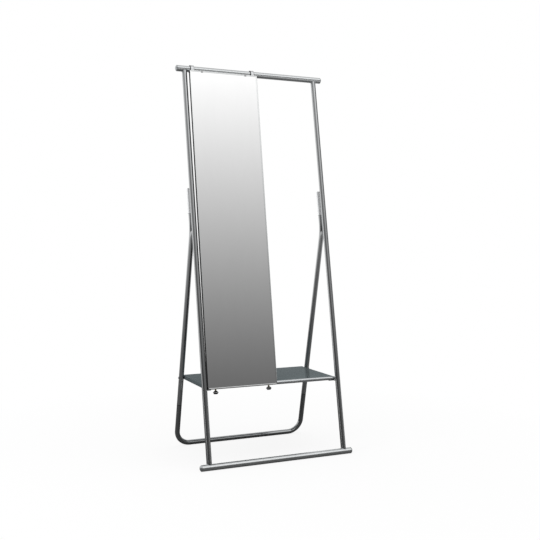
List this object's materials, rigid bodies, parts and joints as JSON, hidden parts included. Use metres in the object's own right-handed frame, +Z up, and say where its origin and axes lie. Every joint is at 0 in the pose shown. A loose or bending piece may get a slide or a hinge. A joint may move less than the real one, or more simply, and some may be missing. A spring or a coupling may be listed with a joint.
{
  "type": "rolling floor mirror",
  "caption": "Free-standing floor mirror: a tall glass panel hangs from the top rail of a leaning silver tube frame and rolls sideways in front of a dark grey shelf.",
  "frame": {"origin": "On the floor, at the middle of the object's box in plan.", "axes": "+X to the right along the rails as a user facing the glass sees it, +Y from the glass side to the rear legs, +Z up."},
  "size_m": [0.795, 0.515, 1.9046],
  "materials": {
    "frame_tube": "satin polished tube",
    "tube_cap": "satin domed cap",
    "weld_metal": "dressed weld",
    "fastener_steel": "zinc plated",
    "black_ring": "fine matte black",
    "shelf_laminate": "satin dark grey laminate",
    "shelf_trim": "satin aluminium",
    "mirror_silver": "silvered glass",
    "backing_board": "dark board",
    "panel_frame": "grey anodised",
    "clip_grey": "matte grey",
    "hanger_strap": "brushed strip",
    "glide_nylon": "black nylon",
    "pin_brass": "dull brass",
    "foot_black": "semi gloss black",
    "roller_nylon": "natural nylon"
  },
  "bodies": {
    "frame": {"base_rail": "frame_tube", "top_rail": "frame_tube", "base_rail_left_cap": "tube_cap", "base_rail_right_cap": "tube_cap", "top_rail_left_cap": "tube_cap", "top_rail_right_cap": "tube_cap", "left_upright": "frame_tube", "right_upright": "frame_tube", "left_base_weld": "weld_metal", "right_base_weld": "weld_metal", "left_top_weld": "weld_metal", "right_top_weld": "weld_metal", "left_rear_leg": "frame_tube", "right_rear_leg": "frame_tube", "left_leg_sleeve": "frame_tube", "right_leg_sleeve": "frame_tube", "left_sleeve_plug": "tube_cap", "right_sleeve_plug": "tube_cap", "leg_spacers": "tube_cap", "leg_bolts": "fastener_steel", "upright_inserts": "fastener_steel", "rear_hoop": "frame_tube", "left_joint_ring": "black_ring", "right_joint_ring": "black_ring", "left_leg_spigot": "fastener_steel", "right_leg_spigot": "fastener_steel", "spigot_screws": "fastener_steel", "shelf_board": "shelf_laminate", "shelf_front_trim": "shelf_trim", "left_shelf_bracket": "frame_tube", "right_shelf_bracket": "frame_tube", "shelf_screws": "fastener_steel", "shelf_spacers": "black_ring", "shelf_bolts": "fastener_steel"},
    "carriage": {"left_hanger_glide": "glide_nylon", "right_hanger_glide": "glide_nylon"},
    "mirror": {"mirror_glass": "mirror_silver", "mirror_backing": "backing_board", "mirror_frame_top": "panel_frame", "mirror_frame_bottom": "panel_frame", "mirror_frame_left": "panel_frame", "mirror_frame_right": "panel_frame", "frame_corner_keys": "fastener_steel", "glass_clips": "clip_grey", "left_hanger_strap": "hanger_strap", "right_hanger_strap": "hanger_strap", "hanger_screws": "fastener_steel", "left_guide_pin": "pin_brass", "right_guide_pin": "pin_brass", "left_guide_foot": "foot_black", "right_guide_foot": "foot_black"},
    "left_roller": {"left_guide_roller": "roller_nylon"},
    "right_roller": {"right_guide_roller": "roller_nylon"}
  },
  "joints": [
    {"name": "mirror_slide", "type": "slide", "parent": "frame", "child": "carriage", "axis": [1, 0, 0], "range_m": [0, 0.32]},
    {"name": "mirror_swing", "type": "hinge", "parent": "carriage", "child": "mirror", "pos_m": [0, 0.09565, 1.885], "axis": [-1, 0, 0], "range_deg": [0, 25]},
    {"name": "left_roller_spin", "type": "hinge", "parent": "mirror", "child": "left_roller", "pos_m": [-0.2955, -0.17571, 0.36621], "axis": [0, 0.1607, 0.987], "continuous": true},
    {"name": "right_roller_spin", "type": "hinge", "parent": "mirror", "child": "right_roller", "pos_m": [-0.0245, -0.17571, 0.36621], "axis": [0, 0.1607, 0.987], "continuous": true}
  ],
  "couplings": [
    {"joint": "left_roller_spin", "follows": "mirror_slide", "rad_per_m": 133.33},
    {"joint": "right_roller_spin", "follows": "mirror_slide", "rad_per_m": 133.33}
  ]
}
